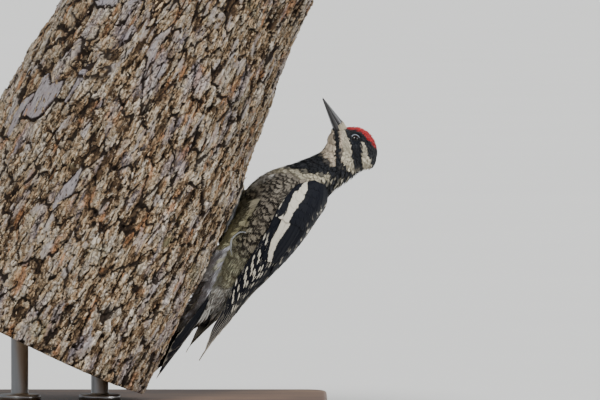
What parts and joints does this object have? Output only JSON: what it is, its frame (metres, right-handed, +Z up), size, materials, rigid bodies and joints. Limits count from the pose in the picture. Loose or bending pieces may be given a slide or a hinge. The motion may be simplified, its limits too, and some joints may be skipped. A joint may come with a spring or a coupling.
{
  "type": "woodpecker",
  "caption": "Life-size yellow-bellied sapsucker clinging to a cut length of leaning trunk, held over a flat base by short rods.",
  "frame": {"origin": "middle of the base's underside, on the surface the stand rests on", "axes": "+Z up; +X the way the trunk leans, so the trunk's axis and the rods lie in the XZ plane; the bird clings on the +X side, turned 22 degrees round the trunk towards +Y, with its left side towards -Y"},
  "size_m": [0.2781, 0.19, 0.3085],
  "materials": {
    "black_plumage": "soft sheen",
    "striped_plumage": "soft sheen",
    "mottled_plumage": "matt",
    "horn": "satin",
    "eye": "polished",
    "shank": "satin",
    "bark": "rough bark",
    "base_wood": "oiled",
    "rod_steel": "brushed"
  },
  "bodies": {
    "root": {"head": "striped_plumage", "neck": "striped_plumage", "torso": "mottled_plumage", "rump": "mottled_plumage", "tail": "black_plumage", "bill_upper": "horn", "bill_lower": "horn", "wing_left": "black_plumage", "eye_left": "eye", "thigh_left": "mottled_plumage", "foot_left": "shank", "claw_left_1": "horn", "claw_left_2": "horn", "claw_left_3": "horn", "claw_left_4": "horn", "wing_right": "black_plumage", "eye_right": "eye", "thigh_right": "mottled_plumage", "foot_right": "shank", "claw_right_1": "horn", "claw_right_2": "horn", "claw_right_3": "horn", "claw_right_4": "horn", "trunk_perch": "bark", "stand_base": "base_wood", "stand_rod_1": "rod_steel", "stand_rod_2": "rod_steel"}
  },
  "joints": []
}
